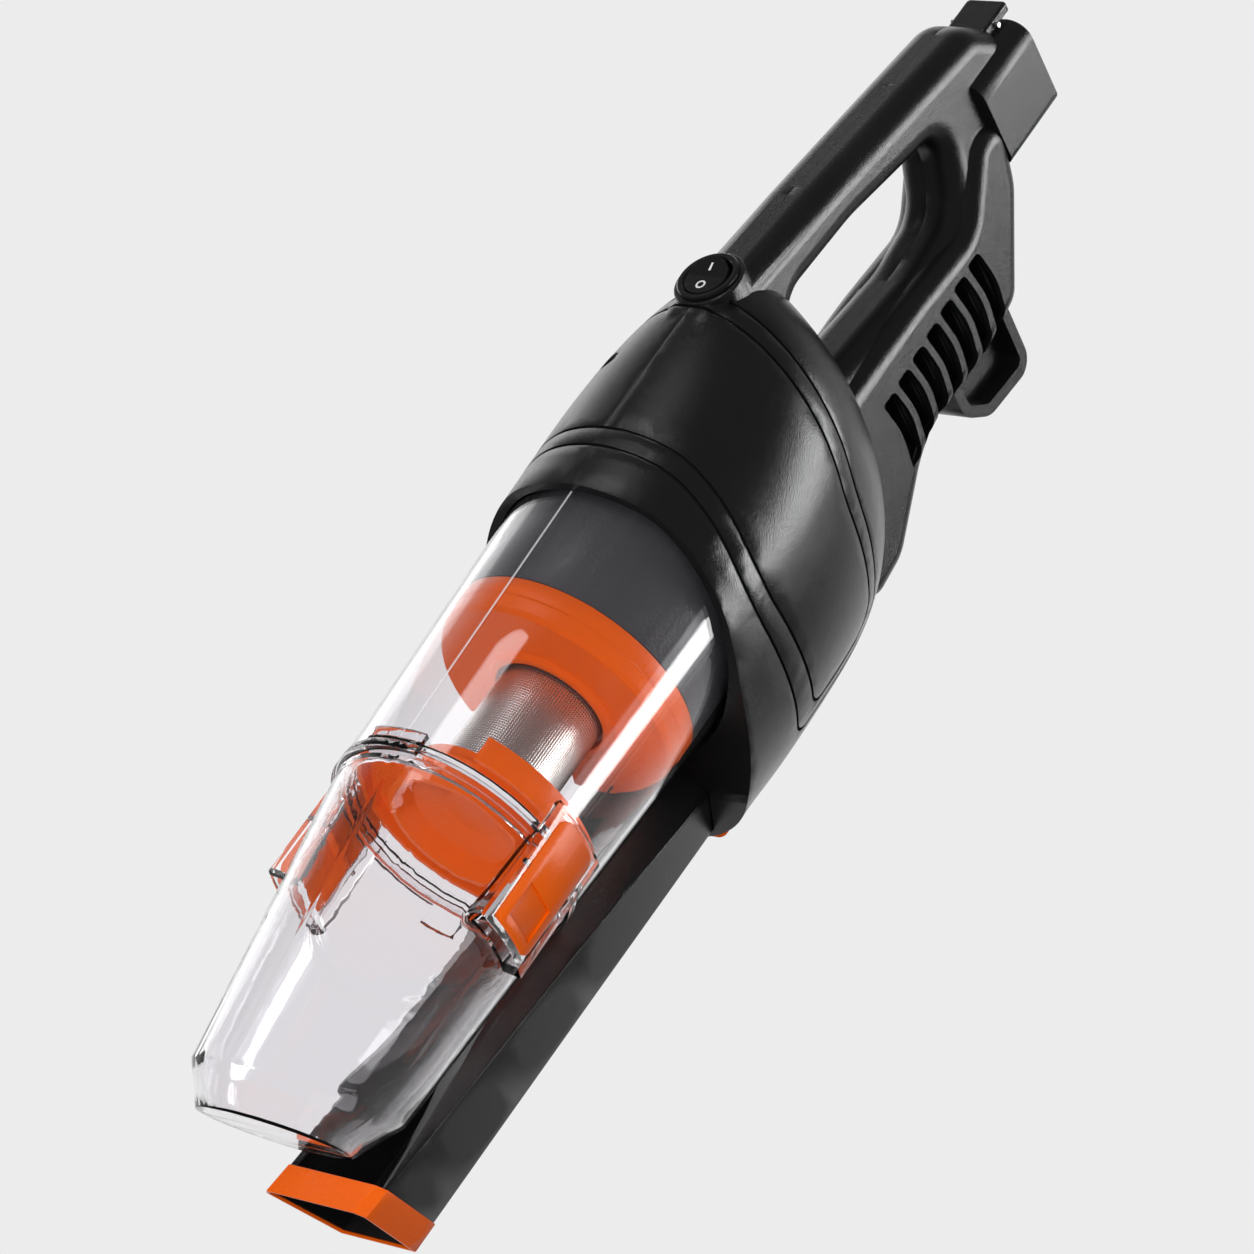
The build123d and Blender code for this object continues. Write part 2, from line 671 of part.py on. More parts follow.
def make_tube_latch():
    """Sprung lever on top of the socket that locks the push handle's tube."""
    lever = box_between((LATCH_REAR_X, -LATCH_HALF_WIDTH, LATCH_LOW_Z),
                        (LATCH_FRONT_X, LATCH_HALF_WIDTH, LATCH_HIGH_Z))
    lever = fillet(lever.edges().filter_by(Axis.Z), 2.0)
    lever = fillet(lever.faces().sort_by(Axis.Z)[-1].edges(), 1.2)
    half = LATCH_HALF_WIDTH - 0.4
    lever += tube_y(LATCH_PIVOT_X, LATCH_PIVOT_Z, LATCH_BOSS_R, -half, half)
    lever -= tube_y(LATCH_PIVOT_X, LATCH_PIVOT_Z, PIN_HOLE_R, -20, 20)
    keep("tube_latch", lever)
    keep("latch_pin", latch_pin_solid())


def make_release_button():
    """Push button under the chin, its flange captive behind the chin's floor."""
    cap = box_between((BUTTON_REAR_X, -BUTTON_HALF_WIDTH, BUTTON_LOW_Z),
                      (BUTTON_FRONT_X, BUTTON_HALF_WIDTH, BUTTON_FLANGE_LOW_Z))
    cap = fillet(cap.edges().filter_by(Axis.Z), 3.0)
    cap = fillet(cap.faces().sort_by(Axis.Z)[0].edges(), 1.6)
    half = BUTTON_HALF_WIDTH + BUTTON_FLANGE_EXTRA
    flange = box_between((BUTTON_REAR_X, -half, BUTTON_FLANGE_LOW_Z),
                         (BUTTON_FRONT_X, half, BUTTON_FLANGE_HIGH_Z))
    keep("release_button", cap + flange)


# ---------------------------------------------------------------- motor
def make_motor():
    """Universal motor with its fan, on the housing's long axis."""
    can = tube_x(MOTOR_REAR_X, MOTOR_FRONT_X, MOTOR_R, MOTOR_R - 1.2)
    can += tube_x(MOTOR_REAR_X, MOTOR_REAR_X + 1.5, MOTOR_R, BEARING_R)
    can += tube_x(MOTOR_FRONT_X - 1.5, MOTOR_FRONT_X, MOTOR_R, BEARING_R)
    keep("motor_can", can)
    keep("rear_bearing", tube_x(MOTOR_REAR_X - 3, MOTOR_REAR_X + 4, BEARING_R, SHAFT_R + 0.05))
    keep("front_bearing", tube_x(MOTOR_FRONT_X - 4, MOTOR_FRONT_X + 3, BEARING_R, SHAFT_R + 0.05))
    keep("stator", tube_x(STATOR_REAR_X, STATOR_FRONT_X, MOTOR_R - 1.2, ARMATURE_R + 0.6))
    armature = tube_x(STATOR_REAR_X, STATOR_FRONT_X, ARMATURE_R, SHAFT_R)
    for index in range(ARMATURE_SLOTS):
        slot = box_between((STATOR_REAR_X - 1, -1.0, ARMATURE_R - 7),
                           (STATOR_FRONT_X + 1, 1.0, ARMATURE_R + 1))
        armature -= Rotation(index * 360 / ARMATURE_SLOTS, 0, 0) * slot
    keep("armature", armature)
    keep("commutator", tube_x(COMMUTATOR_REAR_X, COMMUTATOR_FRONT_X, COMMUTATOR_R, SHAFT_R))
    brushes = Part()
    for side in (-1, 1):
        middle = (COMMUTATOR_REAR_X + COMMUTATOR_FRONT_X) / 2
        inner = side * (COMMUTATOR_R + 0.4)
        outer = side * (MOTOR_R - 1.2)
        brushes += box_between((middle - 3, min(inner, outer), -3), (middle + 3, max(inner, outer), 3))
    keep("carbon_brushes", brushes & tube_x(MOTOR_REAR_X, MOTOR_FRONT_X, MOTOR_R - 1.2))
    keep("motor_shaft", tube_x(MOTOR_REAR_X - 4, FAN_FRONT_X + 2, SHAFT_R))

    shroud = turned([
        (MOTOR_FRONT_X + 3.2, FAN_R + 1.0), (FAN_FRONT_X + 1.0, FAN_R + 1.0), (FAN_FRONT_X + 1.0, FAN_EYE_R),
        (FAN_FRONT_X + 2.4, FAN_EYE_R), (FAN_FRONT_X + 2.4, FAN_R + 2.4), (MOTOR_FRONT_X + 3.2, FAN_R + 2.4),
    ])
    shroud += tube_x(MOTOR_FRONT_X, MOTOR_FRONT_X + 3.2, FAN_R + 2.4, MOTOR_R - 4)
    keep("fan_shroud", shroud - tube_x(MOTOR_FRONT_X, MOTOR_FRONT_X + 3.2, BEARING_R))

    fan = tube_x(FAN_REAR_X, FAN_REAR_X + 1.2, FAN_R, SHAFT_R)
    fan += tube_x(FAN_REAR_X, FAN_FRONT_X - 1.0, SHAFT_R + 4, SHAFT_R)
    fan += tube_x(FAN_FRONT_X - 1.2, FAN_FRONT_X, FAN_R, FAN_EYE_R - 1.5)
    for index in range(FAN_BLADES):
        blade = box_between((FAN_REAR_X + 1.0, -0.5, SHAFT_R + 8), (FAN_FRONT_X - 1.0, 0.5, FAN_R - 1.0))
        blade = Rotation(index * 360 / FAN_BLADES, 0, 0) * (Pos(0, 6.0, 0) * blade)
        fan += blade & tube_x(FAN_REAR_X, FAN_FRONT_X, FAN_R)
    keep("impeller", fan)

    front_mount = tube_x(MOTOR_FRONT_X + 4.0, FAN_FRONT_X, MOUNT_OUTER_R, FAN_R + 2.4)
    keep("motor_mount_front", front_mount)
    keep("motor_mount_rear", tube_x(MOTOR_REAR_X - 4.0, MOTOR_REAR_X, REAR_MOUNT_R, BEARING_R + 0.2))
    grille = tube_x(BULKHEAD_X - 2.2, BULKHEAD_X, SHELL_R + 0.4, GRILLE_HOLE_R)
    for index in range(GRILLE_SPOKES):
        spoke = box_between((BULKHEAD_X - 2.2, -1.0, 5.0), (BULKHEAD_X, 1.0, GRILLE_HOLE_R + 1))
        grille += Rotation(index * 360 / GRILLE_SPOKES, 0, 0) * spoke
    grille += tube_x(BULKHEAD_X - 2.2, BULKHEAD_X, 13.0, 11.0)
    grille += tube_x(BULKHEAD_X - 2.2, BULKHEAD_X, 6.0)
    keep("inlet_grille", grille)


# ---------------------------------------------------------------- dust unit
def make_dust_unit():
    """Clear rear shell, nozzle duct, filter and separator."""
    rear, front = SHELL_REAR_X, SHELL_FRONT_X
    shell = turned([
        (rear, shell_r(0) - SHELL_WALL), (0, shell_r(0) - SHELL_WALL), (front, shell_r(front) - SHELL_WALL),
        (front, shell_r(front)), (0, shell_r(0)), (rear, shell_r(0)),
    ])
    port = box_between((PORT_REAR_X, -PORT_HALF_WIDTH, -60), (PORT_FRONT_X, PORT_HALF_WIDTH, -40))
    keep("rear_shell", shell - port)

    ring = tube_x(front, JOINT_X, SHELL_FLANGE_R, SPIGOT_INNER_R)
    ring += tube_x(JOINT_X, JOINT_X + SPIGOT_LENGTH, SPIGOT_OUTER_R, SPIGOT_INNER_R)
    ring += sector_x(LUG_REAR_X, JOINT_X, LUG_LOW_R, LUG_R, LUG_HALF_ANGLE, LUG_ANGLE)
    keep("joint_ring", ring)

    plane = mouth_plane(RIM_DEPTH)
    duct = duct_hull(0) - (duct_hull(DUCT_WALL) & box_between((DUCT_REAR_WALL_X, -60, -100), (300, 60, 0)))
    duct = split(duct, bisect_by=plane, keep=Keep.BOTTOM)
    duct &= box_between((CHIN_FRONT_WALL_X - 1.0, -60, -100), (300, 60, 0))
    duct -= port & box_between((0, -60, -58), (300, 60, 0))
    duct -= tube_x(0, 300, SHELL_R + CLEARANCE)
    keep("nozzle_duct", biggest(duct))
    collar = port & box_between((0, -60, -53.6), (300, 60, 0))
    inner = box_between((PORT_REAR_X + 1.2, -PORT_HALF_WIDTH + 1.2, -60),
                        (PORT_FRONT_X - 1.2, PORT_HALF_WIDTH - 1.2, -40))
    keep("inlet_collar", (collar - inner) - tube_x(0, 300, shell_r(PORT_REAR_X) - SHELL_WALL))

    rim = duct_hull(-RIM_STEP) - duct_hull(RIM_WALL - RIM_STEP)
    rim = split(rim, bisect_by=mouth_plane(0), keep=Keep.BOTTOM)
    rim = split(rim, bisect_by=mouth_plane(RIM_DEPTH - 0.05), keep=Keep.TOP)
    keep("nozzle_rim", biggest(rim))

    liner = duct_hull(RIM_WALL - RIM_STEP + 0.05) - duct_hull(DUCT_WALL)
    liner = split(liner, bisect_by=mouth_plane(LINER_SETBACK), keep=Keep.BOTTOM)
    liner = split(liner, bisect_by=mouth_plane(RIM_DEPTH - 0.05), keep=Keep.TOP)
    keep("mouth_liner", biggest(liner))

    housing = tube_x(SHELL_REAR_X + 0.4, SPIGOT_FRONT_X, SPIGOT_R, SPIGOT_R - 2.0)
    housing += tube_x(SPIGOT_FRONT_X - 2.0, SPIGOT_FRONT_X, SPIGOT_R, MESH_R - 2.0)
    keep("filter_housing", housing)
    pad = tube_x(4.0, 30.0, SPIGOT_R - 2.1)
    keep("filter_pad", pad)

    face_x = SEPARATOR_FRONT_X
    separator = turned([
        (SPIGOT_FRONT_X, MESH_R + 1.0), (SPIGOT_FRONT_X, SEPARATOR_R), (45.0, SEPARATOR_R),
        (45.4, SEPARATOR_R - 0.5), (face_x - 1.5, SEPARATOR_R - 0.5), (face_x, SEPARATOR_R - 2.0),
        (face_x, COLLAR_R + 3.5), (face_x + 2.0, COLLAR_R + 2.5), (face_x + 2.0, COLLAR_R),
        (face_x - 2.0, COLLAR_R), (face_x - 2.0, SEPARATOR_R - 2.6),
        (SPIGOT_FRONT_X + 2.0, SEPARATOR_R - 2.6),
        (SPIGOT_FRONT_X + 2.0, MESH_R + 1.0),
    ])
    cut = sector_x(45.4, 60.0, COLLAR_R + 3.5, 60.0, SEPARATOR_CUT_HALF, SEPARATOR_CUT_ANGLE)
    keep("separator", separator - cut)
    keep("filter_mesh", tube_x(SPIGOT_FRONT_X, MESH_FRONT_X, MESH_R, MESH_R - MESH_WALL))
    make_dust_dish()


def make_dust_dish():
    """Shallow dish round the mesh's end, with a rimmed ledge and a bowl, open over the dust passage."""
    ledge_x = MESH_FRONT_X + DISH_THICKNESS
    dish = turned([
        (MESH_FRONT_X, 0), (MESH_FRONT_X, DISH_COLLAR_R - DISH_THICKNESS),
        (DISH_COLLAR_REAR_X, DISH_COLLAR_R - DISH_THICKNESS), (DISH_COLLAR_REAR_X, DISH_COLLAR_R),
        (MESH_FRONT_X, DISH_COLLAR_R), (MESH_FRONT_X, DISH_R - DISH_THICKNESS),
        (DISH_REAR_X, DISH_R - DISH_THICKNESS), (DISH_REAR_X, DISH_R), (DISH_FRONT_X, DISH_R),
        (DISH_FRONT_X, DISH_R - DISH_THICKNESS), (ledge_x, DISH_R - DISH_THICKNESS),
        (ledge_x, DISH_COLLAR_R + DISH_THICKNESS), (DISH_BOWL_FRONT_X, DISH_COLLAR_R + 1.0),
        (DISH_BOWL_FRONT_X, DISH_COLLAR_R - 1.0), (ledge_x + 3.0, DISH_COLLAR_R - 5.0), (ledge_x, 10.0),
        (ledge_x, 0),
    ])
    gap = sector_x(DISH_REAR_X - 4, DISH_BOWL_FRONT_X + 4, DISH_COLLAR_R + DISH_THICKNESS + 0.5, 60,
                   DISH_GAP_HALF, DISH_GAP_ANGLE)
    keep("dust_dish", dish - gap)


# ---------------------------------------------------------------- front cup and clips
def cup_section(station, inset):
    """One slanted elliptical section of the front cup's nose."""
    x, half_w, half_h, centre_z = station
    tilt = radians(CUP_END_TILT)
    plane = Plane(origin=(x, 0, centre_z), x_dir=(0, 1, 0), z_dir=(cos(tilt), 0, -sin(tilt)))
    return plane * Ellipse(half_w - inset, half_h / cos(tilt) - inset)


def cup_hull(rear_x, inset):
    """The front cup as a solid from its round mouth to its slanted end."""
    end = (CUP_END[0] - inset, *CUP_END[1:])
    sections = [Plane.YZ.offset(rear_x) * Circle(CUP_R - inset), cup_section(CUP_SHOULDER, inset),
                cup_section(end, inset)]
    return loft(sections, ruled=True)


def make_front_cup():
    """Clear cup with a slanted nose and a frame around each clip."""
    rear_x = JOINT_X + 0.2
    ring_front_x = rear_x + CUP_RING_LENGTH
    cup = cup_hull(rear_x, 0) + tube_x(rear_x, ring_front_x, CUP_RING_R)
    cup += sector_x(rear_x, ring_front_x, LUG_LOW_R, LUG_R, LUG_HALF_ANGLE, LUG_ANGLE)
    cup += sector_x(rear_x, LOW_LUG_FRONT_X, CUP_R - 1.5, LOW_LUG_R, LOW_LUG_HALF_ANGLE, LOW_LUG_ANGLE)
    for side in (0.0, 180.0):
        cup += clip_frame(side)
    cup -= cup_hull(rear_x - 0.1, SHELL_WALL)
    cup -= tube_x(FRAME_REAR_X - 1, rear_x, CLIP_INNER_R)
    for side in (0.0, 180.0):
        cup -= pin_hole(side)
    keep("front_cup", biggest(cup))


def clip_frame(side):
    """The raised wall around one clip, open at its rear over the clear shell."""
    block = sector_x(FRAME_REAR_X, FRAME_FRONT_X, FRAME_ROOT_R, FRAME_R, FRAME_HALF_ANGLE, side)
    gap = RUN_GAP + 0.5
    return block - sector_x(CLIP_REAR_X - gap, CLIP_FRONT_X + gap, 0, 60, CLIP_HALF_ANGLE + 1.0, side)


def pin_hole(side):
    """The hole for one clip's pivot pin."""
    y = CLIP_PIVOT_Y if side == 0.0 else -CLIP_PIVOT_Y
    return tube_z(CLIP_PIVOT_X, y, PIN_R, -PIN_HALF_LENGTH, PIN_HALF_LENGTH)


def make_clips():
    """Left and right clips, each on its own pin with a leaf spring under the finger pad."""
    for name, side, sign in (("left", 0.0, 1), ("right", 180.0, -1)):
        plate = sector_x(CLIP_REAR_X, CLIP_FRONT_X, CLIP_INNER_R, CLIP_OUTER_R, CLIP_HALF_ANGLE, side)
        corners = [e for e in plate.edges() if e.geom_type == GeomType.LINE and e.length < 4.0]
        plate = fillet(corners, CLIP_CORNER_R)
        pad_front = CLIP_FRONT_X - CLIP_CORNER_R
        plate -= sector_x(pad_front - CLIP_PAD_LENGTH, pad_front, CLIP_OUTER_R - CLIP_PAD_DEPTH, 60,
                          CLIP_HALF_ANGLE - 4.5, side)
        y = sign * CLIP_PIVOT_Y
        boss = tube_z(CLIP_PIVOT_X, y, CLIP_BOSS_R, -CLIP_BOSS_HALF_LENGTH, CLIP_BOSS_HALF_LENGTH)
        clip = plate + boss - tube_z(CLIP_PIVOT_X, y, PIN_HOLE_R, -PIN_HALF_LENGTH, PIN_HALF_LENGTH)
        keep(f"clip_{name}", biggest(clip))
        keep(f"clip_pin_{name}", tube_z(CLIP_PIVOT_X, y, PIN_R, -PIN_HALF_LENGTH, PIN_HALF_LENGTH))


def export_all():
    """Move every part to the object's own origin and write one STEP each."""
    os.makedirs("parts", exist_ok=True)
    shift = Pos(-ORIGIN_X, 0, -ORIGIN_Z)
    for name, shape in PARTS.items():
        solids = (shift * shape).solids()
        moved = solids[0] if len(solids) == 1 else Compound(children=list(solids))
        export_step(moved, f"parts/{name}.step")
    boxes = [(shift * shape).bounding_box() for shape in PARTS.values()]
    print("low", min(b.min.X for b in boxes), min(b.min.Y for b in boxes), min(b.min.Z for b in boxes))
    print("high", max(b.max.X for b in boxes), max(b.max.Y for b in boxes), max(b.max.Z for b in boxes))


body_outer, body_cavity = make_body_shells()
make_body_fittings(body_outer, body_cavity)
make_switch()
make_tube_latch()
make_release_button()
make_motor()
make_dust_unit()
make_front_cup()
make_clips()
export_all()
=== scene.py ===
import json
from math import pi, radians

import bmesh
import bpy
from mathutils import Euler, Matrix, Vector


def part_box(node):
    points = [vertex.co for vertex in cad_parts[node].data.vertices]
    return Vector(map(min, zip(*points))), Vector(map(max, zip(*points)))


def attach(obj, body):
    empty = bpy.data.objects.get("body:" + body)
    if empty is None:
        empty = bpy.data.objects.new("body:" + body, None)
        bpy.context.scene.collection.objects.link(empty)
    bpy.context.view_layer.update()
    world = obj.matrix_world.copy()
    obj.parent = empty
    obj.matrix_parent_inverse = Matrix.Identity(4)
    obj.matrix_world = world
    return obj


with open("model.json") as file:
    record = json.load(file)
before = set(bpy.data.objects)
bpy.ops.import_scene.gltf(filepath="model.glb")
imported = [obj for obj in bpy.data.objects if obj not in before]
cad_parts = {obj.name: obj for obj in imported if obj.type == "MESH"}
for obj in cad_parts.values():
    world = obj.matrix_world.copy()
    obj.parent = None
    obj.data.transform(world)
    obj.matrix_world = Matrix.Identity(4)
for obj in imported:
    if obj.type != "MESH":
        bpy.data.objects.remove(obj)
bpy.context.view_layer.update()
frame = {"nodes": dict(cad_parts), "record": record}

MM = 0.001
AXIS_Z = (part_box("motor_shaft")[0].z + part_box("motor_shaft")[1].z) / 2
HOUSING_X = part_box("rear_shell")[0].x + 12.0 * MM

# camera in front of the object, above it and to its left
CAMERA_AT = Vector((0.90937, 1.12962, 1.17532))
CAMERA_TURN = Euler((radians(49.042), radians(22.776), radians(123.360)))
CAMERA_LENS = 151.52
CAMERA_SENSOR = 36.0

# backdrop and sky: how bright they look, light the object, and show in reflections
FLOOR_Z = -2.2
FLOOR_SIZE = 12.0
FLOOR_GLOW = 0.84
SKY_LEVEL = 0.26
SKY_IN_GLOSS = 0.12
VIEW_WAY = (0.4912, 0.6272, 0.6044)

# clear shell: outer radius at the housing and how it narrows forward, in millimetres
SHELL_R = 50.0
SHELL_TAPER = 0.0393
SHELL_START_X = 0.3
SHELL_END_X = 111.4

# section of the raised mould line: across and up from the shell's surface
MOULD_LINE = [(-0.42, -0.25), (-0.28, 0.16), (0.0, 0.3), (0.28, 0.16), (0.42, -0.25)]
MOULD_LINE_STEPS = 56

GAUZE_PITCH = 1.0
GAUZE_R = 19.5

# softboxes: name, direction, distance, along, across, radiance, what they light
LAMPS = [
    ("side_core", (-0.88, 1.00, -0.45), 1.41, 1.05, 0.35, 12.0, "gloss"),
    ("side_glow", (-0.88, 1.02, -0.41), 1.41, 1.05, 0.62, 0.9, "gloss"),
    ("overhead_strip", (-0.22, -0.17, 0.95), 1.5, 0.46, 0.5, 3.6, "gloss"),
    ("left_sweep", (-0.45, -0.89, -0.02), 1.6, 1.6, 0.8, 0.7, "gloss"),
    ("camera_fill", (0.62, 0.35, 0.70), 2.0, 1.5, 1.5, 4.7, "fill"),
    ("right_fill", (-0.25, 0.90, 0.35), 2.0, 1.5, 1.2, 1.2, "fill"),
]


def at(x, y, z):
    """A point given in millimetres from where the cup leaves the housing, on the long axis."""
    return Vector((HOUSING_X + x * MM, y * MM, AXIS_Z + z * MM))


# ---------------------------------------------------------------- node helpers
def new_material(name):
    """An empty node material with its Principled shader."""
    mat = bpy.data.materials.new(name)
    mat.use_nodes = True
    return mat, mat.node_tree, mat.node_tree.nodes["Principled BSDF"]


def object_coordinates(tree):
    """The surface's own coordinates, in metres."""
    return tree.nodes.new("ShaderNodeTexCoord").outputs["Object"]


def noise(tree, vector, scale, detail=2.0, roughness=0.5):
    """A noise texture's value, at a scale in cells per metre."""
    node = tree.nodes.new("ShaderNodeTexNoise")
    node.inputs["Scale"].default_value = scale
    node.inputs["Detail"].default_value = detail
    node.inputs["Roughness"].default_value = roughness
    tree.links.new(vector, node.inputs["Vector"])
    return node.outputs["Fac"]


def grain_cells(tree, vector, scale):
    """Distance to the nearest of many scattered points, for a spark-eroded grain."""
    node = tree.nodes.new("ShaderNodeTexVoronoi")
    node.inputs["Scale"].default_value = scale
    tree.links.new(vector, node.inputs["Vector"])
    return node.outputs["Distance"]


def ranged(tree, value, low, high, from_low=0.3, from_high=0.7):
    """A value mapped onto a new range."""
    node = tree.nodes.new("ShaderNodeMapRange")
    node.inputs["From Min"].default_value = from_low
    node.inputs["From Max"].default_value = from_high
    node.inputs["To Min"].default_value = low
    node.inputs["To Max"].default_value = high
    tree.links.new(value, node.inputs["Value"])
    return node.outputs["Result"]


def mixed(tree, factor, first, second):
    """A colour between two, by a factor."""
    node = tree.nodes.new("ShaderNodeMix")
    node.data_type = "RGBA"
    node.inputs["A"].default_value = (*first, 1.0)
    node.inputs["B"].default_value = (*second, 1.0)
    tree.links.new(factor, node.inputs["Factor"])
    return node.outputs["Result"]


def maths(tree, operation, first, second=None):
    """One arithmetic step on sockets or plain numbers."""
    node = tree.nodes.new("ShaderNodeMath")
    node.operation = operation
    for socket, value in zip(node.inputs, (first, second)):
        if value is None:
            continue
        if isinstance(value, (int, float)):
            socket.default_value = value
        else:
            tree.links.new(value, socket)
    return node.outputs["Value"]


def bumped(tree, shader, height, distance, strength=1.0):
    """Adds a bump to the shader's normal."""
    node = tree.nodes.new("ShaderNodeBump")
    node.inputs["Distance"].default_value = distance
    node.inputs["Strength"].default_value = strength
    tree.links.new(height, node.inputs["Height"])
    tree.links.new(node.outputs["Normal"], shader.inputs["Normal"])


# ---------------------------------------------------------------- materials
def moulded_plastic(name, colour, dark, roughness, grain, coarse=1500.0, specular=0.5):
    """Moulded plastic: fine grain, slightly uneven gloss and faint handling marks."""
    mat, tree, shader = new_material(name)
    where = object_coordinates(tree)
    broad = noise(tree, where, 22.0, 3.0)
    fine = noise(tree, where, coarse, 2.0, 0.6)
    cells = grain_cells(tree, where, coarse * 0.8)
    tree.links.new(mixed(tree, broad, dark, colour), shader.inputs["Base Color"])
    uneven = maths(tree, "ADD", maths(tree, "MULTIPLY", broad, 0.5), maths(tree, "MULTIPLY", fine, 0.5))
    tree.links.new(ranged(tree, uneven, roughness - 0.05, roughness + 0.07), shader.inputs["Roughness"])
    height = maths(tree, "ADD", cells, fine)
    bumped(tree, shader, height, grain)
    shader.inputs["Specular IOR Level"].default_value = specular
    return mat


def clear_plastic(name, tint):
    """Clear moulded plastic that lets the lamps reach what is behind it."""
    mat, tree, shader = new_material(name)
    where = object_coordinates(tree)
    shader.inputs["Base Color"].default_value = (*tint, 1.0)
    shader.inputs["Transmission Weight"].default_value = 1.0
    shader.inputs["IOR"].default_value = 1.46
    smear = noise(tree, where, 30.0, 4.0)
    tree.links.new(ranged(tree, smear, 0.004, 0.012), shader.inputs["Roughness"])
    bumped(tree, shader, noise(tree, where, 60.0, 1.0), 0.00006, 0.4)
    through = tree.nodes.new("ShaderNodeBsdfTransparent")
    through.inputs["Color"].default_value = (*tint, 1.0)
    rays = tree.nodes.new("ShaderNodeLightPath")
    blend = tree.nodes.new("ShaderNodeMixShader")
    tree.links.new(rays.outputs["Is Shadow Ray"], blend.inputs["Fac"])
    tree.links.new(shader.outputs["BSDF"], blend.inputs[1])
    tree.links.new(through.outputs["BSDF"], blend.inputs[2])
    tree.links.new(blend.outputs["Shader"], tree.nodes["Material Output"].inputs["Surface"])
    return mat


def painted_highlight_clear(name, colour, clearness):
    """A thin ridge of clear plastic, half see-through, whose whitish base colour is a painted highlight
    where it catches the light.
    """
    mat, tree, shader = new_material(name)
    where = object_coordinates(tree)
    highlight_and_gloss_noise = noise(tree, where, 400.0, 2.0)
    # painted highlight: a whitish base colour, a little uneven, stands for the light the ridge catches
    tree.links.new(mixed(tree, highlight_and_gloss_noise, [c * 0.9 for c in colour], colour), shader.inputs["Base Color"])
    tree.links.new(ranged(tree, highlight_and_gloss_noise, 0.15, 0.3), shader.inputs["Roughness"])
    through = tree.nodes.new("ShaderNodeBsdfTransparent")
    blend = tree.nodes.new("ShaderNodeMixShader")
    blend.inputs["Fac"].default_value = clearness
    tree.links.new(shader.outputs["BSDF"], blend.inputs[1])
    tree.links.new(through.outputs["BSDF"], blend.inputs[2])
    tree.links.new(blend.outputs["Shader"], tree.nodes["Material Output"].inputs["Surface"])
    return mat


def metal(name, colour, roughness, scratch_scale=900.0):
    """Bare metal with fine drawn scratches."""
    mat, tree, shader = new_material(name)
    where = object_coordinates(tree)
    stretch = tree.nodes.new("ShaderNodeMapping")
    stretch.inputs["Scale"].default_value = (0.06, 1.0, 1.0)
    tree.links.new(where, stretch.inputs["Vector"])
    drawn = noise(tree, stretch.outputs["Vector"], scratch_scale, 3.0)
    tree.links.new(mixed(tree, drawn, [c * 0.8 for c in colour], colour), shader.inputs["Base Color"])
    tree.links.new(ranged(tree, drawn, roughness - 0.06, roughness + 0.1), shader.inputs["Roughness"])
    shader.inputs["Metallic"].default_value = 1.0
    bumped(tree, shader, drawn, 0.00002)
    return mat


def woven_mesh(name, pitch, radius):
    """Fine stainless gauze on a cylinder: bright wires round holes painted dark, painted shade for the dim
    inside seen through them.
    """
    mat, tree, shader = new_material(name)
    parts = tree.nodes.new("ShaderNodeSeparateXYZ")
    tree.links.new(object_coordinates(tree), parts.inputs["Vector"])
    height = maths(tree, "SUBTRACT", parts.outputs["Z"], AXIS_Z)
    angle = maths(tree, "ARCTAN2", parts.outputs["Y"], height)
    round_turns = maths(tree, "MULTIPLY", angle, radius / pitch)
    along_turns = maths(tree, "MULTIPLY", parts.outputs["X"], 1.0 / pitch)
    waves = []
    for turns in (round_turns, along_turns):
        wave = maths(tree, "SINE", maths(tree, "MULTIPLY", turns, pi))
        waves.append(maths(tree, "MULTIPLY", wave, wave))
    weave = maths(tree, "MULTIPLY", waves[0], waves[1])
    shaded_hole = ranged(tree, weave, 0.0, 1.0, 0.30, 0.62)
    # painted shade: the holes are coloured near black, less metallic and rougher, for the shade seen
    # through them
    tree.links.new(mixed(tree, shaded_hole, (0.78, 0.76, 0.72), (0.035, 0.032, 0.03)), shader.inputs["Base Color"])
    tree.links.new(ranged(tree, shaded_hole, 1.0, 0.2, 0.0, 1.0), shader.inputs["Metallic"])
    tree.links.new(ranged(tree, shaded_hole, 0.24, 0.7, 0.0, 1.0), shader.inputs["Roughness"])
    bumped(tree, shader, maths(tree, "SUBTRACT", 1.0, weave), 0.00012)
    return mat


def open_foam(name):
    """Dark filter sponge, painted darker in the pits of its bump as shade in its pores."""
    mat, tree, shader = new_material(name)
    cells = grain_cells(tree, object_coordinates(tree), 700.0)
    # painted shade: the colour is darkest where the bump below sinks into pores
    tree.links.new(mixed(tree, cells, (0.01, 0.01, 0.01), (0.08, 0.08, 0.085)), shader.inputs["Base Color"])
    shader.inputs["Roughness"].default_value = 0.9
    bumped(tree, shader, cells, 0.0008)
    return mat


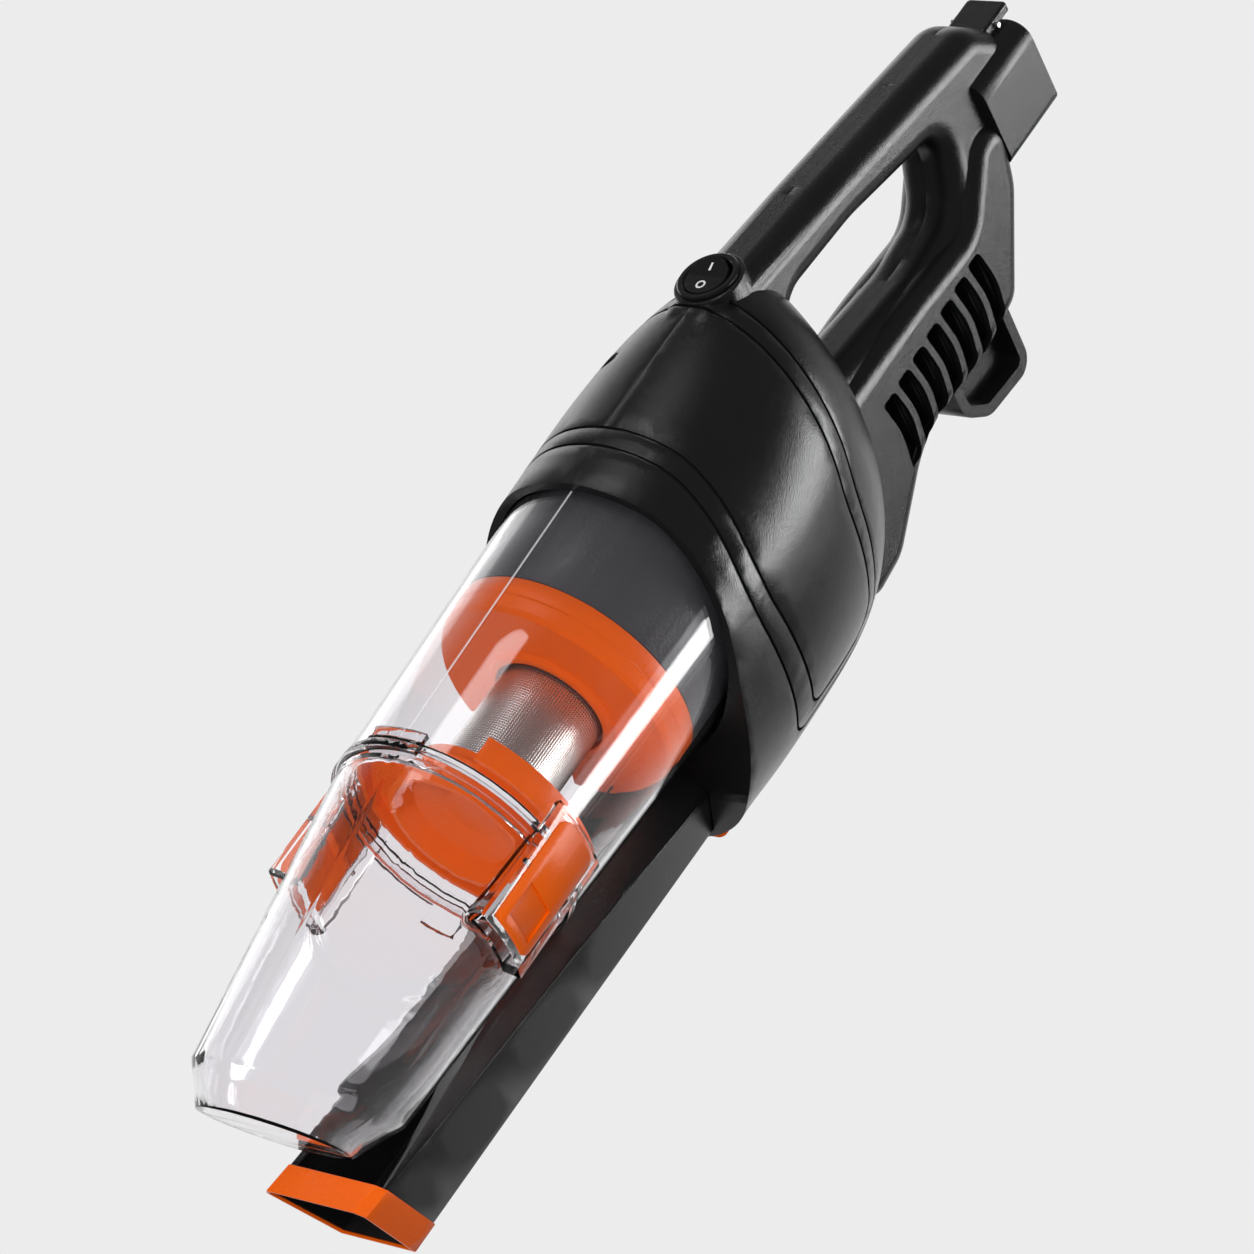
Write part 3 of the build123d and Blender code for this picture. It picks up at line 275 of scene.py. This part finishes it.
MATERIALS = {
    "black_plastic": moulded_plastic(
        "black_grained_plastic", (0.0055, 0.0055, 0.0058), (0.0035, 0.0035, 0.0038), 0.21, 0.00006, 2400.0),
    "black_gloss": moulded_plastic(
        "black_gloss_plastic", (0.004, 0.004, 0.0043), (0.003, 0.003, 0.0032), 0.2, 0.00002, 600.0),
    "orange_plastic": moulded_plastic(
        "orange_plastic", (0.86, 0.122, 0.002), (0.80, 0.108, 0.001), 0.30, 0.00003, 900.0, specular=0.2),
    "clear_plastic": clear_plastic("clear_plastic", (0.975, 0.965, 0.985)),
    # the mould line's material: half-transparent clear plastic with a painted highlight as its colour
    "clear_edge": painted_highlight_clear("clear_plastic_edge_painted_highlight", (0.9, 0.9, 0.92), 0.5),
    "white_ink": moulded_plastic("white_ink", (0.85, 0.85, 0.85), (0.78, 0.78, 0.78), 0.5, 0.00001, 900.0),
    "steel": metal("bright_steel", (0.62, 0.62, 0.64), 0.28),
    # steel gauze with painted shade in its holes
    "steel_mesh": woven_mesh("steel_gauze", GAUZE_PITCH * MM, GAUZE_R * MM),
    "copper": metal("copper", (0.72, 0.38, 0.2), 0.32),
    "carbon": moulded_plastic("carbon", (0.035, 0.035, 0.038), (0.02, 0.02, 0.022), 0.6, 0.0001, 1400.0),
    "soft_rubber": moulded_plastic(
        "soft_rubber", (0.02, 0.02, 0.02), (0.012, 0.012, 0.012), 0.62, 0.00008, 900.0),
    "filter_sponge": open_foam("filter_sponge"),
    "laminated_steel": metal("laminated_steel", (0.22, 0.22, 0.24), 0.45, 2600.0),
    "grey_plastic": moulded_plastic(
        "grey_plastic", (0.05, 0.05, 0.054), (0.035, 0.035, 0.038), 0.42, 0.0001, 900.0),
}


# radius of the small rounding on the moulded edges, in millimetres
EDGE_ROUND = {
    "clip_left": 0.6, "clip_right": 0.6, "front_cup": 0.5, "joint_ring": 0.4, "nozzle_duct": 0.5,
    "nozzle_rim": 0.35, "cord_hook": 0.7, "separator": 0.4, "dust_dish": 0.4, "tube_latch": 0.3,
    "release_button": 0.7, "body_shell_left": 0.45, "body_shell_right": 0.45, "filter_housing": 0.3,
    "rocker": 0.25, "socket_liner": 0.3,
}


def dress_frame():
    """Gives every CAD node its material, and the nodes in EDGE_ROUND welded faces and softened edges with
    hardened normals.
    """
    slots = {row["node"]: row["material_slot"] for row in frame["record"]["subparts"]}
    for node, piece in frame["nodes"].items():
        material = MATERIALS[slots[node]]
        if not piece.material_slots:
            piece.data.materials.append(material)
        for place in piece.material_slots:
            place.material = material
        width = EDGE_ROUND.get(node)
        if width:
            join = piece.modifiers.new("joined_faces", "WELD")
            join.merge_threshold = 0.002 * MM
            soften = piece.modifiers.new("edge_round", "BEVEL")
            soften.width = width * MM
            soften.segments = 2
            soften.limit_method = "ANGLE"
            soften.angle_limit = radians(35.0)
            soften.harden_normals = True


def grid_mesh(name, points, columns, closed=False):
    """A quad mesh over rows of points."""
    mesh = bpy.data.meshes.new(name)
    rows = len(points) // columns
    faces = []
    for row in range(rows - 1):
        for column in range(columns if closed else columns - 1):
            after = (column + 1) % columns
            faces.append((row * columns + column, row * columns + after,
                          (row + 1) * columns + after, (row + 1) * columns + column))
    mesh.from_pydata(points, [], faces)
    return mesh


def add_piece(name, mesh, material, body, smooth=True):
    """Puts a mesh in the scene, moving with one body of the CAD model."""
    piece = bpy.data.objects.new(name, mesh)
    bpy.context.scene.collection.objects.link(piece)
    mesh.materials.append(material)
    mesh.validate()
    for face in mesh.polygons:
        face.use_smooth = smooth
    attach(piece, body)
    return piece


def build_mould_line():
    """The fine raised parting line along the top of the clear shell, coloured with a painted highlight."""
    points = []
    for index in range(MOULD_LINE_STEPS + 1):
        x = SHELL_START_X + (SHELL_END_X - SHELL_START_X) * index / MOULD_LINE_STEPS
        radius = SHELL_R - SHELL_TAPER * x
        for across, up in MOULD_LINE:
            points.append(at(x, across, radius + up))
    mesh = grid_mesh("shell_mould_line", points, len(MOULD_LINE))
    # the ridge's whitish colour is a painted highlight
    add_piece("shell_mould_line", mesh, MATERIALS["clear_edge"], "dust_unit")


def build_backdrop():
    """A plain pale backdrop below the object."""
    grid = bmesh.new()
    bmesh.ops.create_grid(grid, x_segments=8, y_segments=8, size=FLOOR_SIZE)
    mesh = bpy.data.meshes.new("floor")
    grid.to_mesh(mesh)
    grid.free()
    mat, tree, shader = new_material("pale_floor")
    glow = tree.nodes.new("ShaderNodeEmission")
    glow.inputs["Color"].default_value = (1.0, 1.0, 1.0, 1.0)
    glow.inputs["Strength"].default_value = FLOOR_GLOW
    tree.links.new(glow.outputs["Emission"], tree.nodes["Material Output"].inputs["Surface"])
    tree.nodes.remove(shader)
    mesh.materials.append(mat)
    floor = bpy.data.objects.new("floor", mesh)
    floor.location = (0, 0, FLOOR_Z)
    floor.visible_diffuse = False
    floor.visible_glossy = False
    bpy.context.scene.collection.objects.link(floor)


def build_sky():
    """An even pale sky that lights the object softly and reflects darker above it."""
    world = bpy.data.worlds.new("studio")
    bpy.context.scene.world = world
    world.use_nodes = True
    tree = world.node_tree
    sky = tree.nodes["Background"]
    sky.inputs["Color"].default_value = (1.0, 1.0, 1.0, 1.0)
    rays = tree.nodes.new("ShaderNodeLightPath")
    way = tree.nodes.new("ShaderNodeVectorMath")
    way.operation = "DOT_PRODUCT"
    way.inputs[1].default_value = VIEW_WAY
    tree.links.new(tree.nodes.new("ShaderNodeTexCoord").outputs["Generated"], way.inputs[0])
    mirrored = ranged(tree, way.outputs["Value"], FLOOR_GLOW, SKY_IN_GLOSS, -0.9, -0.3)
    lost = maths(tree, "SUBTRACT", FLOOR_GLOW, mirrored)
    dimmed = maths(tree, "MULTIPLY", rays.outputs["Is Glossy Ray"], lost)
    shaded = maths(tree, "MULTIPLY", rays.outputs["Is Diffuse Ray"], FLOOR_GLOW - SKY_LEVEL)
    level = maths(tree, "SUBTRACT", maths(tree, "SUBTRACT", FLOOR_GLOW, dimmed), shaded)
    tree.links.new(level, sky.inputs["Strength"])


def lamp(name, direction, distance, along, across, radiance, lights):
    """A softbox aimed at the object, its first side along the object's length, for gloss or for fill."""
    data = bpy.data.lights.new(name, "AREA")
    data.shape = "RECTANGLE"
    data.size = along
    data.size_y = across
    data.energy = pi * along * across * radiance
    softbox = bpy.data.objects.new(name, data)
    way = Vector(direction).normalized()
    side = (Vector((1, 0, 0)) - way * way.x).normalized()
    turn = Matrix((side, way.cross(side), way)).transposed()
    softbox.location = Vector((0.0, 0.0, AXIS_Z)) + way * distance
    softbox.rotation_euler = turn.to_euler()
    softbox.visible_diffuse = lights == "fill"
    softbox.visible_glossy = lights == "gloss"
    softbox.visible_transmission = lights == "gloss"
    bpy.context.scene.collection.objects.link(softbox)


def build_camera():
    """The main camera, looking down along the cup and the handle."""
    data = bpy.data.cameras.new("camera")
    data.lens = CAMERA_LENS
    data.sensor_width = CAMERA_SENSOR
    camera = bpy.data.objects.new("camera", data)
    camera.location = CAMERA_AT
    camera.rotation_euler = CAMERA_TURN
    bpy.context.scene.collection.objects.link(camera)
    bpy.context.scene.camera = camera


bpy.context.scene.view_settings.view_transform = "Standard"
dress_frame()
build_mould_line()
build_backdrop()
build_sky()
for row in LAMPS:
    lamp(*row)
build_camera()
